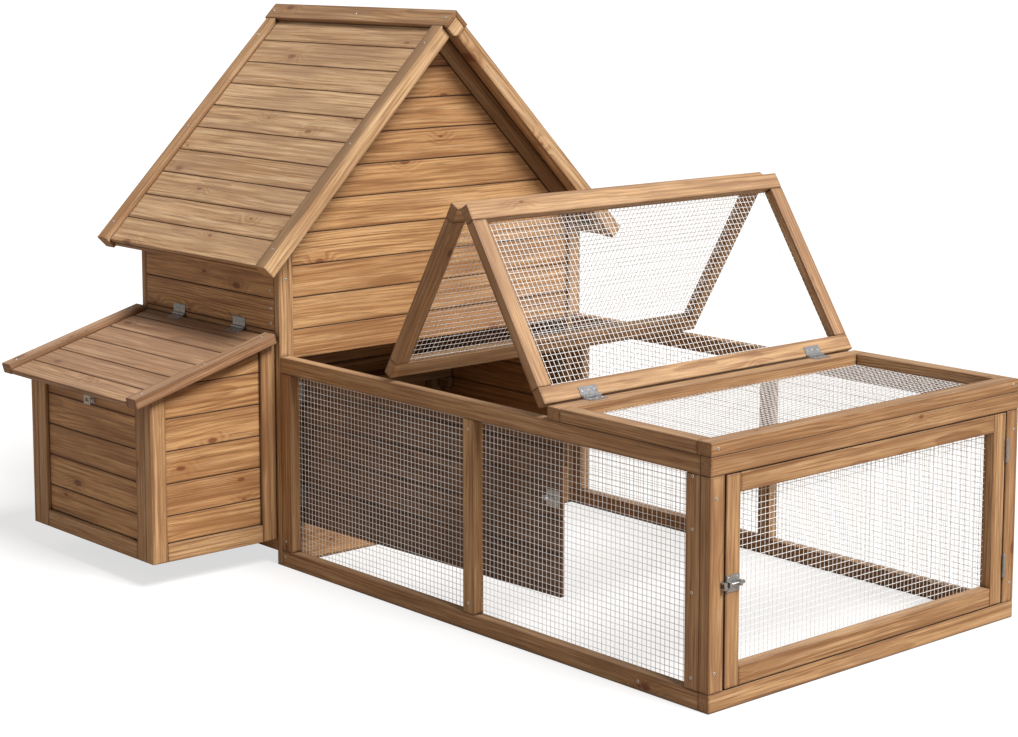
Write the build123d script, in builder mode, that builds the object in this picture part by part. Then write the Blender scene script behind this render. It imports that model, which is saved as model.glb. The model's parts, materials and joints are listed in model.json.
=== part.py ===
from build123d import *
import os
from math import cos, radians, sin, tan

os.makedirs("parts", exist_ok=True)

# Chicken coop: a planked house with a steep gable roof, a nest box hung on its side and a mesh run in front.
# Millimetres, +Z up, origin on the ground under the middle of the whole coop.
# Every pair below is measured from the house front (X), the nest-side wall (Y) and the ground (Z);
# these two datums carry it to the origin.
house_front_x = -363.5
nest_side_y = -322.65

# House
house_depth = 590.0
house_width = 955.0
gable_thickness = 20.0
stile_width = 40.0
board_thickness = 12.0
board_pitch = 75.0
board_gap = 0.6
first_seam = 33.0
doorway_sill = 98.0
doorway_head = 490.0
header_z = (492.0, 530.0)
side_wall_top = 777.0
floor_top = 90.0
post_top = 700.0
post_size = 28.0
rear_post_size = 40.0
bearer_width = 38.0
bearer_bottom = 40.0
perch_x = (-537.0, -502.0)
perch_z = (260.0, 295.0)
perch_cleat_bottom = 230.0

# Roof: heights h are measured square to the slope, from the tops of the verge battens
roof_tilt = 45.4
ridge_z = 1296.0
slope_length = 803.0
cap_width = 51.0
roof_board_pitch = 75.2
roof_board_count = 10
roof_board_start = 44.0
roof_rear_x = -620.0
roof_front_x = 25.0
batten_width = 38.0
rafter_top = 24.0
rafter_bottom = 64.0

# Nest box, hung on the nest-side wall
nest_rear_x = -550.0
nest_front_x = -20.0
nest_out_y = -343.0
nest_bottom = 60.0
panel_thickness = 28.0
nest_lid_tilt = 15.4
nest_lid_wall_z = 560.0
nest_lid_length = 410.8
nest_lid_depth = 25.0
nest_lid_clearance = 0.8
nest_floor_top = 76.0
nest_hole_x = (-470.0, -70.0)
nest_hole_z = (183.0, 408.0)
nest_divider_x = (-276.0, -264.0)
nest_divider_top = 380.0
board_recess = 8.0

# Run
run_length = 1380.0
run_height = 500.0
rail_width = 38.0
mesh_thickness = 2.0
lid_thickness = 24.0
lid_panel_length = 458.0
fixed_top_start = 922.0
top_frame_height = 528.0
run_inner_x = run_length - panel_thickness
middle_stile_x = (657.0, 693.0)
end_post_width = 39.0
door_edge_y = (44.0, 912.0)
door_edge_z = (40.0, 460.0)
door_stile = 39.0

# Hinges, with the pin standing clear of the timber face
pin_height = 4.0
pin_radius = 1.5
bore_radius = 1.56
knuckle_radius = 3.6
leaf_thickness = 1.6
leaf_length = 50.0
leaf_reach = 24.0
knuckle_gap = 0.2
leaf_setback = 3.3
butt_height = 2.0
butt_setback = 4.0
hasp_length = 28.0
hasp_reach = 42.0
hasp_slot_drop = 31.0

# Angles of the moving pieces as they stand
near_lid_tilt = 57.6
far_lid_tilt = 59.616
house_door_swing = -87.5

joint_gap = 0.2
middle_y = house_width / 2
roof_slope = tan(radians(roof_tilt))
nest_slope = tan(radians(nest_lid_tilt))


def at(x, y, z):
    """Return the point at x, y, z from the datums."""
    return (house_front_x + x, nest_side_y + y, z)


ground = Plane(origin=at(0, 0, 0))


def across(x):
    """Return the upright plane at x that faces the run, with Y and Z as its own axes."""
    return Plane(origin=at(x, 0, 0), x_dir=(0, 1, 0), z_dir=(1, 0, 0))


def along(y):
    """Return the upright plane at y that faces the nest side, with X and Z as its own axes."""
    return Plane(origin=at(0, y, 0), x_dir=(1, 0, 0), z_dir=(0, -1, 0))


def turned(pin, x_dir, z_dir):
    """Return the plane of a hinge pin at the point pin."""
    return Plane(origin=at(*pin), x_dir=x_dir, z_dir=z_dir)


def block(x, y, z, place=ground):
    """Add a square-edged block spanning the pairs x, y and z of a plane."""
    middle = Location((sum(x) / 2, sum(y) / 2, sum(z) / 2))
    with Locations(place.location * middle):
        Box(abs(x[1] - x[0]), abs(y[1] - y[0]), abs(z[1] - z[0]))


def slab(place, outline, depth):
    """Add the outline drawn on a plane, extruded off it by depth."""
    with BuildSketch(place) as face:
        Polygon(*outline, align=None)
    extrude(face.sketch, amount=depth)


def boarding(place, outline, seams, depth, holes=()):
    """Add a boarded panel: the outline is parted at each seam and opened at each hole."""
    reach = [point[0] for point in outline]
    middle = (min(reach) + max(reach)) / 2
    width = max(reach) - min(reach) + 2
    with BuildSketch(place) as face:
        Polygon(*outline, align=None)
        with Locations(*[(middle, seam) for seam in seams]):
            Rectangle(width, board_gap, mode=Mode.SUBTRACT)
        for across_pair, up_pair in holes:
            with Locations((sum(across_pair) / 2, sum(up_pair) / 2)):
                Rectangle(across_pair[1] - across_pair[0], up_pair[1] - up_pair[0], mode=Mode.SUBTRACT)
    extrude(face.sketch, amount=depth)


def seams_between(low, high):
    """Return the board seams that lie between two heights."""
    count = int((high - first_seam) / board_pitch) + 1
    heights = [first_seam + board_pitch * k for k in range(count)]
    return [height for height in heights if low + 1 < height < high - 1]


def rake(y, depth):
    """Return the height of the roof slope at y, sunk square to the slope by depth."""
    return ridge_z - depth / cos(radians(roof_tilt)) - abs(middle_y - y) * roof_slope


def roof_plane(hand):
    """Return the plane of a roof slope's batten tops: hand -1 is the nest side, +1 the back."""
    lean = radians(roof_tilt)
    return Plane(origin=at(0, middle_y, ridge_z), x_dir=(1, 0, 0), z_dir=(0, hand * sin(lean), cos(lean)))


def roof_block(hand, x, s, h):
    """Add a roof member: s runs down the slope from the ridge and h stands square to it."""
    block(x, (hand * s[0], hand * s[1]), h, roof_plane(hand))


def nest_lid_underside(y):
    """Return the height just under the closed nest lid at y."""
    drop = (nest_lid_depth + nest_lid_clearance) / cos(radians(nest_lid_tilt))
    return nest_lid_wall_z - drop + y * nest_slope


def panel_frame(place, u, v, thickness, stiles):
    """Add a timber frame on a plane: rails over the whole of u at both ends of v, and stiles between them."""
    block(u, (v[0], v[0] + rail_width), thickness, place)
    block(u, (v[1] - rail_width, v[1]), thickness, place)
    for stile in stiles:
        block(stile, (v[0] + rail_width + joint_gap, v[1] - rail_width - joint_gap), thickness, place)


def hinge_leaf(
    place, hand, ends, reach=leaf_reach, length=leaf_length, height=pin_height, setback=leaf_setback
):
    """Add one hinge leaf: hand picks the side of the pin, ends gives it the outer knuckles."""
    half = length / 2
    inner = length / 6 - knuckle_gap
    outer = length / 6 + knuckle_gap
    spans = [(-half, -outer), (outer, half)] if ends else [(-inner, inner)]
    thick = (-height, leaf_thickness - height)
    block(thick, (hand * setback, hand * reach), (-half, half), place)
    for span in spans:
        block(thick, (0, hand * (setback + 1)), span, place)
        with Locations(place.location * Location((0, 0, sum(span) / 2))):
            Cylinder(knuckle_radius, span[1] - span[0])
            Cylinder(bore_radius, span[1] - span[0], mode=Mode.SUBTRACT)


def hinge_pin(place, length=leaf_length):
    """Add a hinge pin with a small head at each end."""
    head_radius = 2.6
    head_thickness = 1.2
    with Locations(place.location):
        Cylinder(pin_radius, length + 1)
    for end in (-1, 1):
        with Locations(place.location * Location((0, 0, end * (length + 1 + head_thickness) / 2))):
            Cylinder(head_radius, head_thickness)


def heads(place, spots, radius=3.2):
    """Add a flat screw head standing on the plane at each spot."""
    with Locations(*[place.location * Location((u, v, 0.5)) for u, v in spots]):
        Cylinder(radius, 1.0)


def small_heads(place, spots, lift):
    """Add a small screw head facing along X at each Y, Z spot, lift clear of the plane."""
    head_thickness = 0.8
    for y, z in spots:
        with Locations(place.location * Location((lift + head_thickness / 2, y, z), (0, 90, 0))):
            Cylinder(2.2, head_thickness)


def leaf_screws(place, hand, reach=leaf_reach, count=3, length=leaf_length):
    """Add the screw heads that hold one hinge leaf."""
    spread = length - 16
    middle = hand * (leaf_setback + reach) / 2
    spots = [(middle, k * spread / (count - 1) - spread / 2) for k in range(count)]
    small_heads(place, spots, leaf_thickness - pin_height)


# The lids' planes: X runs along the panel away from the run's far end, Z stands out of its top.
lid_pin = (fixed_top_start - 1, 0, top_frame_height + pin_height)
near_tilt = radians(near_lid_tilt)
far_tilt = radians(far_lid_tilt)
near_x = (cos(near_tilt), 0, -sin(near_tilt))
near_z = (sin(near_tilt), 0, cos(near_tilt))
far_x = (cos(far_tilt), 0, sin(far_tilt))
far_z = (-sin(far_tilt), 0, cos(far_tilt))
near_plane = turned(lid_pin, near_x, near_z)
near_back = -(lid_panel_length + 2)
near_drop = -(lid_thickness + 2 * pin_height)
ridge_pin = (
    lid_pin[0] + near_back * near_x[0] + near_drop * near_z[0],
    0,
    lid_pin[2] + near_back * near_x[2] + near_drop * near_z[2],
)
far_plane = turned(ridge_pin, far_x, far_z)
lid_hinge_ys = (126.0, 822.0)
ridge_hinge_ys = (120.0, 835.0)

# The nest lid's plane: X along the wall, Y up the slope, Z out of the lid.
nest_lean = radians(nest_lid_tilt)
nest_lid_z = (0, -sin(nest_lean), cos(nest_lean))
nest_lid_plane = Plane(origin=at(0, 0, nest_lid_wall_z), x_dir=(1, 0, 0), z_dir=nest_lid_z)
nest_board_top = -12.0
nest_pin_y = -pin_height
nest_pin_z = nest_lid_wall_z + nest_pin_y * nest_slope + (nest_board_top + pin_height) / cos(nest_lean)
nest_hinge_xs = (-420.0, -164.0)
hasp_x = -281.0
hasp_s = 372.8
hasp_h = -nest_lid_depth + 1 - pin_height
hasp_pin = (
    hasp_x,
    -hasp_s * cos(nest_lean) - hasp_h * sin(nest_lean),
    nest_lid_wall_z - hasp_s * sin(nest_lean) + hasp_h * cos(nest_lean),
)

# The doors' planes stand at their hinge pins, X out of the door and Y along it.
end_pin_xy = (run_length + pin_height, door_edge_y[1] + butt_height)
end_hinge_zs = (122.0, 377.0)
house_pin_xy = (pin_height, stile_width + 1.0)
house_hinge_zs = (165.0, 413.0)
house_turn = radians(house_door_swing)
house_out = (cos(house_turn), sin(house_turn), 0)
house_door_plane = turned((*house_pin_xy, 0), house_out, (0, 0, 1))


# House carcass
gable_front_faces = (-gable_thickness, -house_depth)
with BuildPart() as gable_stiles:
    for x in gable_front_faces:
        outer_top = rake(0, rafter_bottom) - joint_gap
        inner_top = rake(stile_width, rafter_bottom) - joint_gap
        for near, far in ((0, stile_width), (house_width, house_width - stile_width)):
            slab(across(x), [(near, 0), (far, 0), (far, inner_top), (near, outer_top)], gable_thickness)
gable_stiles.part.label = "gable_stiles"
export_step(gable_stiles.part, "parts/gable_stiles.step")

with BuildPart() as gable_rafters:
    for x in gable_front_faces:
        for end, hand in ((0, -1), (house_width, 1)):
            meet = middle_y + hand * joint_gap
            slab(
                across(x),
                [
                    (end, rake(end, rafter_bottom)),
                    (meet, rake(meet, rafter_bottom)),
                    (meet, rake(meet, rafter_top)),
                    (end, rake(end, rafter_top)),
                ],
                gable_thickness,
            )
gable_rafters.part.label = "gable_rafters"
export_step(gable_rafters.part, "parts/gable_rafters.step")

gable_low = stile_width + joint_gap
gable_high = house_width - stile_width - joint_gap
gable_shoulder = rake(gable_low, rafter_bottom) - joint_gap
gable_peak = rake(middle_y, rafter_bottom) - joint_gap


def gable_outline(bottom):
    """Return the outline of the boards in a gable, from bottom up to the rafters."""
    return [
        (gable_low, bottom),
        (gable_high, bottom),
        (gable_high, gable_shoulder),
        (middle_y, gable_peak),
        (gable_low, gable_shoulder),
    ]


with BuildPart() as front_gable_boards:
    front_seams = seams_between(doorway_head, gable_peak)
    boarding(across(-gable_thickness), gable_outline(doorway_head), front_seams, board_thickness)
front_gable_boards.part.label = "front_gable_boards"
export_step(front_gable_boards.part, "parts/front_gable_boards.step")

with BuildPart() as rear_gable_boards:
    rear_face = -house_depth + gable_thickness - board_thickness
    rear_seams = seams_between(first_seam, gable_peak)
    boarding(across(rear_face), gable_outline(first_seam), rear_seams, board_thickness)
rear_gable_boards.part.label = "rear_gable_boards"
export_step(rear_gable_boards.part, "parts/rear_gable_boards.step")

with BuildPart() as front_sill_board:
    block((-gable_thickness, 0), (gable_low, gable_high), (0, doorway_sill))
front_sill_board.part.label = "front_sill_board"
export_step(front_sill_board.part, "parts/front_sill_board.step")

wall_x = (-house_depth + gable_thickness, -gable_thickness)
wall_outline = [
    (wall_x[0], first_seam),
    (wall_x[1], first_seam),
    (wall_x[1], side_wall_top),
    (wall_x[0], side_wall_top),
]
wall_seams = seams_between(first_seam, side_wall_top)
with BuildPart() as nest_side_wall_boards:
    nest_hole = (nest_hole_x, nest_hole_z)
    boarding(along(board_thickness), wall_outline, wall_seams, board_thickness, [nest_hole])
nest_side_wall_boards.part.label = "nest_side_wall_boards"
export_step(nest_side_wall_boards.part, "parts/nest_side_wall_boards.step")

with BuildPart() as back_side_wall_boards:
    boarding(along(house_width), wall_outline, wall_seams, board_thickness)
back_side_wall_boards.part.label = "back_side_wall_boards"
export_step(back_side_wall_boards.part, "parts/back_side_wall_boards.step")

inner_y = (board_thickness, house_width - board_thickness)
with BuildPart() as wall_framing:
    # corner posts, narrow behind the doorway's stiles
    for wall, inward in ((inner_y[0], 1), (inner_y[1], -1)):
        front_post_x = (wall_x[1] - post_size, wall_x[1])
        rear_post_x = (wall_x[0], wall_x[0] + post_size)
        block(front_post_x, (wall, wall + inward * post_size), (floor_top, post_top))
        block(rear_post_x, (wall, wall + inward * rear_post_size), (floor_top, post_top))
    # header rail behind the foot of the gable boards
    header_x = (wall_x[1] - gable_thickness, wall_x[1])
    block(header_x, (inner_y[0] + post_size + joint_gap, inner_y[1] - post_size - joint_gap), header_z)
    # battens round the hole into the nest box
    trim = 20.0
    trim_y = (inner_y[0], inner_y[0] + trim)
    trim_x = (nest_hole_x[0] - trim, nest_hole_x[1] + trim)
    block((trim_x[0], nest_hole_x[0]), trim_y, nest_hole_z)
    block((nest_hole_x[1], trim_x[1]), trim_y, nest_hole_z)
    block(trim_x, trim_y, (nest_hole_z[0] - trim, nest_hole_z[0] - joint_gap))
    block(trim_x, trim_y, (nest_hole_z[1] + joint_gap, nest_hole_z[1] + trim))
wall_framing.part.label = "wall_framing"
export_step(wall_framing.part, "parts/wall_framing.step")

with BuildPart() as floor_boards:
    floor_count = 5
    floor_pitch = (wall_x[1] - wall_x[0]) / floor_count
    for k in range(floor_count):
        start = wall_x[0] + k * floor_pitch
        x = (start + joint_gap, start + floor_pitch - joint_gap)
        block(x, (inner_y[0] + joint_gap, inner_y[1] - joint_gap), (floor_top - board_thickness, floor_top))
floor_boards.part.label = "floor_boards"
export_step(floor_boards.part, "parts/floor_boards.step")

with BuildPart() as floor_bearers:
    bearer_inset = 60.0
    bearer_last = house_width - bearer_inset - bearer_width
    for y in (bearer_inset, middle_y - bearer_width / 2, bearer_last):
        block(wall_x, (y, y + bearer_width), (bearer_bottom, floor_top - board_thickness))
floor_bearers.part.label = "floor_bearers"
export_step(floor_bearers.part, "parts/floor_bearers.step")

with BuildPart() as perch:
    cleat_x = (perch_x[0] - 4, perch_x[1] + 4)
    cleat_z = (perch_cleat_bottom, perch_z[0] - joint_gap)
    block(perch_x, (inner_y[0] + joint_gap, inner_y[1] - joint_gap), perch_z)
    for wall, inward in ((inner_y[0], 1), (inner_y[1], -1)):
        block(cleat_x, (wall, wall + inward * 20), cleat_z)
perch.part.label = "perch"
export_step(perch.part, "parts/perch.step")


# Roof
def roof_boards(hand):
    """Add the boards of one roof slope."""
    for k in range(roof_board_count):
        start = roof_board_start + k * roof_board_pitch
        s = (start, start + roof_board_pitch - board_gap)
        roof_block(hand, (roof_rear_x, roof_front_x), s, (-rafter_top, -rafter_top + board_thickness))


with BuildPart() as roof_boards_nest_side:
    roof_boards(-1)
roof_boards_nest_side.part.label = "roof_boards_nest_side"
export_step(roof_boards_nest_side.part, "parts/roof_boards_nest_side.step")

with BuildPart() as roof_boards_back_side:
    roof_boards(1)
roof_boards_back_side.part.label = "roof_boards_back_side"
export_step(roof_boards_back_side.part, "parts/roof_boards_back_side.step")

front_verge = (roof_front_x, roof_front_x + batten_width)
rear_verge = (roof_rear_x - batten_width, roof_rear_x)
with BuildPart() as verge_battens:
    for hand in (-1, 1):
        for x in (front_verge, rear_verge):
            roof_block(hand, x, (cap_width + 2 * joint_gap, slope_length), (-batten_width, 0))
verge_battens.part.label = "verge_battens"
export_step(verge_battens.part, "parts/verge_battens.step")

with BuildPart() as roof_battens:
    eave_end = roof_board_start + roof_board_count * roof_board_pitch
    under = (-batten_width, -rafter_top)
    upper_batten = 60.0
    for hand in (-1, 1):
        roof_block(hand, (roof_rear_x, roof_front_x), (eave_end - batten_width, eave_end), under)
        roof_block(hand, wall_x, (upper_batten, upper_batten + batten_width), under)
roof_battens.part.label = "roof_battens"
export_step(roof_battens.part, "parts/roof_battens.step")

cap_overhang = 10.0
cap_x = (rear_verge[0] - cap_overhang, front_verge[1] + cap_overhang)
cap_thickness = 12.0


def under_ridge(s, h, hand):
    """Return the Y and Z of a point s down a slope and h above it."""
    lean = radians(roof_tilt)
    y = middle_y + hand * (s * cos(lean) + h * sin(lean))
    return (y, ridge_z - s * sin(lean) + h * cos(lean))


with BuildPart() as ridge_cap_boards:
    inner_mitre = cap_thickness * roof_slope + joint_gap
    for hand in (-1, 1):
        corners = [(joint_gap, 0), (cap_width, 0), (cap_width, -cap_thickness), (inner_mitre, -cap_thickness)]
        slab(across(cap_x[0]), [under_ridge(s, h, hand) for s, h in corners], cap_x[1] - cap_x[0])
ridge_cap_boards.part.label = "ridge_cap_boards"
export_step(ridge_cap_boards.part, "parts/ridge_cap_boards.step")

with BuildPart() as ridge_end_blocks:
    block_outline = [
        (middle_y, ridge_z - cap_thickness / cos(radians(roof_tilt)) - joint_gap),
        under_ridge(cap_width, -cap_thickness - joint_gap, -1),
        under_ridge(cap_width, -batten_width, -1),
        under_ridge(cap_width, -batten_width, 1),
        under_ridge(cap_width, -cap_thickness - joint_gap, 1),
    ]
    for x in (cap_x[0], cap_x[1] - batten_width):
        slab(across(x), block_outline, batten_width)
ridge_end_blocks.part.label = "ridge_end_blocks"
export_step(ridge_end_blocks.part, "parts/ridge_end_blocks.step")


# Nest box
nest_side_faces = (nest_rear_x, nest_front_x - panel_thickness)
nest_rail_top = 101.0
nest_stile = 40.0
nest_inner_x = (nest_rear_x + panel_thickness, nest_front_x - panel_thickness)
nest_front_face = nest_out_y + panel_thickness
nest_front_top = nest_lid_underside(nest_out_y)
with BuildPart() as nest_side_frames:
    for x in nest_side_faces:
        for y in ((nest_out_y, nest_out_y + nest_stile), (-nest_stile, 0)):
            corners = [(y[0], nest_bottom), (y[1], nest_bottom)]
            corners += [(end, nest_lid_underside(end)) for end in (y[1], y[0])]
            slab(across(x), corners, panel_thickness)
        block(
            (x, x + panel_thickness),
            (nest_out_y + nest_stile + joint_gap, -nest_stile - joint_gap),
            (nest_bottom, nest_rail_top),
        )
nest_side_frames.part.label = "nest_side_frames"
export_step(nest_side_frames.part, "parts/nest_side_frames.step")

nest_seam_shift = 19.0
nest_board_start = nest_rail_top + joint_gap


def nest_seams(high):
    """Return the nest boards' seams below a height."""
    seams = [seam - nest_seam_shift for seam in seams_between(nest_board_start + nest_seam_shift, high + 100)]
    return [seam for seam in seams if seam < high - 5]


with BuildPart() as nest_side_boards:
    side_low = nest_out_y + nest_stile + joint_gap
    side_high = -nest_stile - joint_gap
    side_outline = [
        (side_low, nest_board_start),
        (side_high, nest_board_start),
        (side_high, nest_lid_underside(side_high)),
        (side_low, nest_lid_underside(side_low)),
    ]
    side_seams = nest_seams(nest_lid_underside(side_high))
    for x in nest_side_faces:
        boarding(across(x + board_recess), side_outline, side_seams, board_thickness)
nest_side_boards.part.label = "nest_side_boards"
export_step(nest_side_boards.part, "parts/nest_side_boards.step")

with BuildPart() as nest_front_frame:
    front_y = (nest_out_y, nest_front_face)
    for x in (nest_inner_x[0], nest_inner_x[1] - rail_width):
        block((x, x + rail_width), front_y, (nest_bottom, nest_front_top))
    rail_x = (nest_inner_x[0] + rail_width + joint_gap, nest_inner_x[1] - rail_width - joint_gap)
    block(rail_x, front_y, (nest_bottom, nest_rail_top))
nest_front_frame.part.label = "nest_front_frame"
export_step(nest_front_frame.part, "parts/nest_front_frame.step")

nest_board_face = nest_out_y + board_recess
nest_board_back = nest_board_face + board_thickness
with BuildPart() as nest_front_boards:
    front_outline = [
        (rail_x[0], nest_board_start),
        (rail_x[1], nest_board_start),
        (rail_x[1], nest_front_top),
        (rail_x[0], nest_front_top),
    ]
    boarding(along(nest_board_back), front_outline, nest_seams(nest_front_top), board_thickness)
nest_front_boards.part.label = "nest_front_boards"
export_step(nest_front_boards.part, "parts/nest_front_boards.step")

with BuildPart() as nest_floor:
    block(nest_inner_x, (nest_front_face, 0), (nest_floor_top - board_thickness, nest_floor_top))
nest_floor.part.label = "nest_floor"
export_step(nest_floor.part, "parts/nest_floor.step")

with BuildPart() as nest_divider:
    block(nest_divider_x, (nest_front_face, 0), (nest_floor_top, nest_divider_top))
nest_divider.part.label = "nest_divider"
export_step(nest_divider.part, "parts/nest_divider.step")

with BuildPart() as nest_lid_boards:
    nest_lid_x = (-596.0, 0.0)
    lid_side = 38.0
    board_x = (nest_lid_x[0] + lid_side + joint_gap, nest_lid_x[1] - lid_side - joint_gap)
    nest_lid_pitch = 73.5
    first_edge = 52.0
    edges = [8.4] + [first_edge + nest_lid_pitch * k for k in range(5)] + [nest_lid_length]
    lid_board_h = (nest_board_top - board_thickness, nest_board_top)
    for start, end in zip(edges, edges[1:]):
        block(board_x, (-start - board_gap / 2, -end + board_gap / 2), lid_board_h, nest_lid_plane)
nest_lid_boards.part.label = "nest_lid_boards"
export_step(nest_lid_boards.part, "parts/nest_lid_boards.step")

with BuildPart() as nest_lid_battens:
    batten_start = 14.0
    for x in (nest_lid_x[0], nest_lid_x[1] - lid_side):
        block((x, x + lid_side), (-batten_start, -nest_lid_length), (-nest_lid_depth, 0), nest_lid_plane)
nest_lid_battens.part.label = "nest_lid_battens"
export_step(nest_lid_battens.part, "parts/nest_lid_battens.step")


# Run panels
with BuildPart() as run_front_frame:
    side_stiles = ((0.0, rail_width), middle_stile_x, (run_inner_x - rail_width, run_inner_x))
    panel_frame(along(0), (0, run_inner_x), (0, run_height), (-panel_thickness, 0), side_stiles)
run_front_frame.part.label = "run_front_frame"
export_step(run_front_frame.part, "parts/run_front_frame.step")

with BuildPart() as run_back_frame:
    panel_frame(along(house_width), (0, run_inner_x), (0, run_height), (0, panel_thickness), side_stiles)
run_back_frame.part.label = "run_back_frame"
export_step(run_back_frame.part, "parts/run_back_frame.step")

with BuildPart() as run_end_frame:
    # a sill and a head over the full width, with the door posts between
    end_x = (run_inner_x, run_length)
    for z in ((0, rail_width), (run_height - rail_width, run_height)):
        block(end_x, (0, house_width), z)
    for y in (0, house_width - end_post_width):
        block(end_x, (y, y + end_post_width), (rail_width + joint_gap, run_height - rail_width - joint_gap))
run_end_frame.part.label = "run_end_frame"
export_step(run_end_frame.part, "parts/run_end_frame.step")

with BuildPart() as run_top_frame:
    top_z = (run_height, top_frame_height)
    for x in (fixed_top_start, run_length - rail_width):
        block((x, x + rail_width), (0, house_width), top_z)
    top_side_x = (fixed_top_start + rail_width + joint_gap, run_length - rail_width - joint_gap)
    for y in ((0, rail_width), (house_width - rail_width, house_width)):
        block(top_side_x, y, top_z)
run_top_frame.part.label = "run_top_frame"
export_step(run_top_frame.part, "parts/run_top_frame.step")

mesh_inset = 3.0
opening_z = (rail_width, run_height - rail_width)
with BuildPart() as run_mesh_panels:
    for x in ((rail_width, middle_stile_x[0]), (middle_stile_x[1], run_inner_x - rail_width)):
        for face, outward in ((panel_thickness, -1), (house_width - panel_thickness, 1)):
            block(x, (face + outward * mesh_inset, face + outward * (mesh_inset + mesh_thickness)), opening_z)
    top_mesh_x = (fixed_top_start + rail_width, run_length - rail_width)
    top_mesh_z = (run_height + mesh_inset, run_height + mesh_inset + mesh_thickness)
    block(top_mesh_x, (rail_width, house_width - rail_width), top_mesh_z)
run_mesh_panels.part.label = "run_mesh_panels"
export_step(run_mesh_panels.part, "parts/run_mesh_panels.step")


# End door
end_door_x = (run_length - panel_thickness, run_length)
with BuildPart() as end_door_frame:
    for y in (door_edge_y[0], door_edge_y[1] - door_stile):
        block(end_door_x, (y, y + door_stile), door_edge_z)
    rail_y = (door_edge_y[0] + door_stile + joint_gap, door_edge_y[1] - door_stile - joint_gap)
    for z in (door_edge_z[0], door_edge_z[1] - door_stile):
        block(end_door_x, rail_y, (z, z + door_stile))
end_door_frame.part.label = "end_door_frame"
export_step(end_door_frame.part, "parts/end_door_frame.step")

with BuildPart() as end_door_mesh:
    mesh_x = (end_door_x[0] + mesh_inset, end_door_x[0] + mesh_inset + mesh_thickness)
    mesh_y = (door_edge_y[0] + door_stile, door_edge_y[1] - door_stile)
    block(mesh_x, mesh_y, (door_edge_z[0] + door_stile, door_edge_z[1] - door_stile))
end_door_mesh.part.label = "end_door_mesh"
export_step(end_door_mesh.part, "parts/end_door_mesh.step")


# Folding lids
lid_reach = (-(lid_panel_length + 1), -1.0)
near_h = (-pin_height - lid_thickness, -pin_height)
far_h = (pin_height, pin_height + lid_thickness)


def lid_frame(place, h):
    """Add a lid's frame: cross rails over the full width with the side members between."""
    for x in (lid_reach[0], lid_reach[1] - rail_width):
        block((x, x + rail_width), (0, house_width), h, place)
    side_x = (lid_reach[0] + rail_width + joint_gap, lid_reach[1] - rail_width - joint_gap)
    for y in ((0, rail_width), (house_width - rail_width, house_width)):
        block(side_x, y, h, place)


def lid_mesh(place, bottom):
    """Add a lid's mesh, let into its frame just above the underside."""
    x = (lid_reach[0] + rail_width, lid_reach[1] - rail_width)
    h = (bottom + mesh_inset, bottom + mesh_inset + mesh_thickness)
    block(x, (rail_width, house_width - rail_width), h, place)


with BuildPart() as near_lid_frame:
    lid_frame(near_plane, near_h)
near_lid_frame.part.label = "near_lid_frame"
export_step(near_lid_frame.part, "parts/near_lid_frame.step")

with BuildPart() as near_lid_mesh:
    lid_mesh(near_plane, near_h[0])
near_lid_mesh.part.label = "near_lid_mesh"
export_step(near_lid_mesh.part, "parts/near_lid_mesh.step")

with BuildPart() as far_lid_frame:
    lid_frame(far_plane, far_h)
far_lid_frame.part.label = "far_lid_frame"
export_step(far_lid_frame.part, "parts/far_lid_frame.step")

with BuildPart() as far_lid_mesh:
    lid_mesh(far_plane, far_h[0])
far_lid_mesh.part.label = "far_lid_mesh"
export_step(far_lid_mesh.part, "parts/far_lid_mesh.step")


# House door, standing open along the run
leaf_face = -pin_height
house_door_y = (1.0, 872.0)
house_door_z = (100.0, 478.0)
ledge_thickness = 12.0
with BuildPart() as house_door_boards:
    edges = [house_door_z[0], 193.0, 268.0, 343.0, 418.0, house_door_z[1]]
    for low, high in zip(edges, edges[1:]):
        board_z = (low + board_gap / 2, high - board_gap / 2)
        block((leaf_face - board_thickness, leaf_face), house_door_y, board_z, house_door_plane)
house_door_boards.part.label = "house_door_boards"
export_step(house_door_boards.part, "parts/house_door_boards.step")

with BuildPart() as house_door_ledges:
    ledge_x = (leaf_face - board_thickness - ledge_thickness, leaf_face - board_thickness)
    ledge_width = 40.0
    ledge_z = (house_door_z[0] + 10, house_door_z[1] - 12)
    for y in (25.0, 416.0, 808.0):
        block(ledge_x, (y, y + ledge_width), ledge_z, house_door_plane)
house_door_ledges.part.label = "house_door_ledges"
export_step(house_door_ledges.part, "parts/house_door_ledges.step")


# Hinges: each has a leaf with the outer knuckles, a leaf with the middle knuckle, and a pin
up = (0, 0, 1)
over = (0, 1, 0)
lid_hinge_places = [turned((lid_pin[0], y, lid_pin[2]), up, over) for y in lid_hinge_ys]
near_hinge_places = [turned((lid_pin[0], y, lid_pin[2]), near_z, over) for y in lid_hinge_ys]
near_down = tuple(-part for part in near_z)
far_down = tuple(-part for part in far_z)
near_ridge_places = [turned((ridge_pin[0], y, ridge_pin[2]), near_down, over) for y in ridge_hinge_ys]
far_ridge_places = [turned((ridge_pin[0], y, ridge_pin[2]), far_down, over) for y in ridge_hinge_ys]
end_post_places = [turned((*end_pin_xy, z), (0, -1, 0), up) for z in end_hinge_zs]
end_leaf_places = [turned((*end_pin_xy, z), (0, 1, 0), up) for z in end_hinge_zs]
house_hinge_places = [turned((*house_pin_xy, z), (1, 0, 0), up) for z in house_hinge_zs]
house_leaf_places = [turned((*house_pin_xy, z), house_out, up) for z in house_hinge_zs]
nest_wall_places = [turned((x, nest_pin_y, nest_pin_z), (0, -1, 0), (1, 0, 0)) for x in nest_hinge_xs]
nest_leaf_places = [turned((x, nest_pin_y, nest_pin_z), nest_lid_z, (1, 0, 0)) for x in nest_hinge_xs]
nest_lid_down = tuple(-part for part in nest_lid_z)
hasp_leaf_place = turned(hasp_pin, nest_lid_down, (1, 0, 0))
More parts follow.
